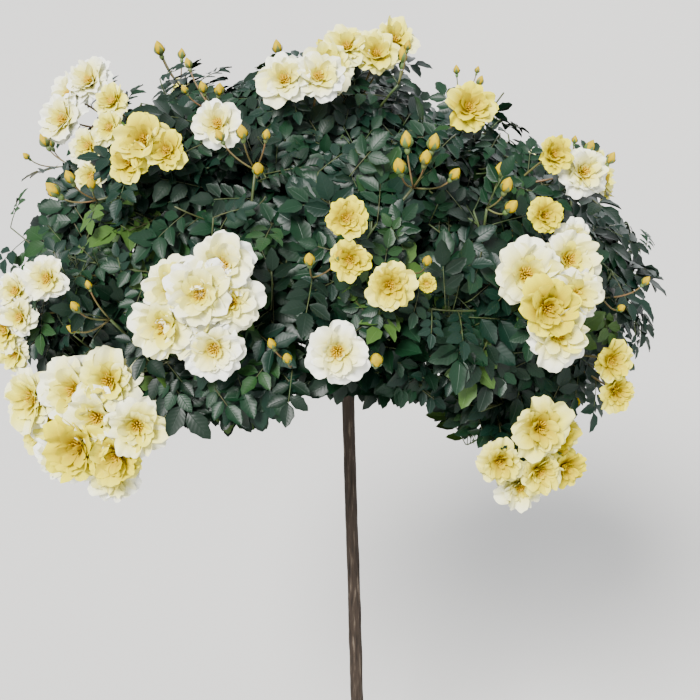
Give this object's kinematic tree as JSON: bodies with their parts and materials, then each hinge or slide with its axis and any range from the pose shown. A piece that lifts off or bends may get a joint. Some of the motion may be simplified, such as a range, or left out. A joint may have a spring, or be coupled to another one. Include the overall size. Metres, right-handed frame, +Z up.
{
  "type": "standard rose bush",
  "caption": "Standard rose: one slim bare stem with a root flare and graft union, arching canes and a round head of dark glossy leaves with trusses of pale yellow and cream blooms.",
  "frame": {"origin": "middle of the flat cut under the stem, at ground level", "axes": "+Z up along the stem, -Y towards the front of the plant, +X to the right seen from the front"},
  "size_m": [0.7926, 0.8042, 1.3161],
  "materials": {
    "bark": "rough bark",
    "cane": "smooth green bark",
    "foliage": "glossy leaves"
  },
  "bodies": {
    "root": {"stem": "bark", "bough_top": "cane", "bough_front_left": "cane", "bough_front_right": "cane", "bough_left": "cane", "bough_right": "cane", "bough_back_left": "cane", "bough_back_right": "cane", "bough_back": "cane", "bough_top_left": "cane", "bough_top_right": "cane", "bough_top_back": "cane", "bough_front": "cane", "bough_front_low": "cane", "bough_left_upper": "cane", "bough_left_high": "cane", "bough_left_low": "cane", "bough_right_upper": "cane", "bough_right_low": "cane", "bough_back_low_left": "cane", "bough_back_low_right": "cane", "bough_back_high_left": "cane", "bough_back_high_right": "cane", "spray_top": "foliage", "spray_top_left": "foliage", "spray_top_right": "foliage", "spray_top_back": "foliage", "spray_front": "foliage", "spray_front_low": "foliage", "spray_front_left": "foliage", "spray_front_right": "foliage", "spray_left_upper": "foliage", "spray_left_high": "foliage", "spray_left": "foliage", "spray_left_low": "foliage", "spray_right_upper": "foliage", "spray_right": "foliage", "spray_right_low": "foliage", "spray_back_left": "foliage", "spray_back_right": "foliage", "spray_back": "foliage", "spray_back_low_left": "foliage", "spray_back_low_right": "foliage", "spray_back_high_left": "foliage", "spray_back_high_right": "foliage"}
  },
  "joints": []
}
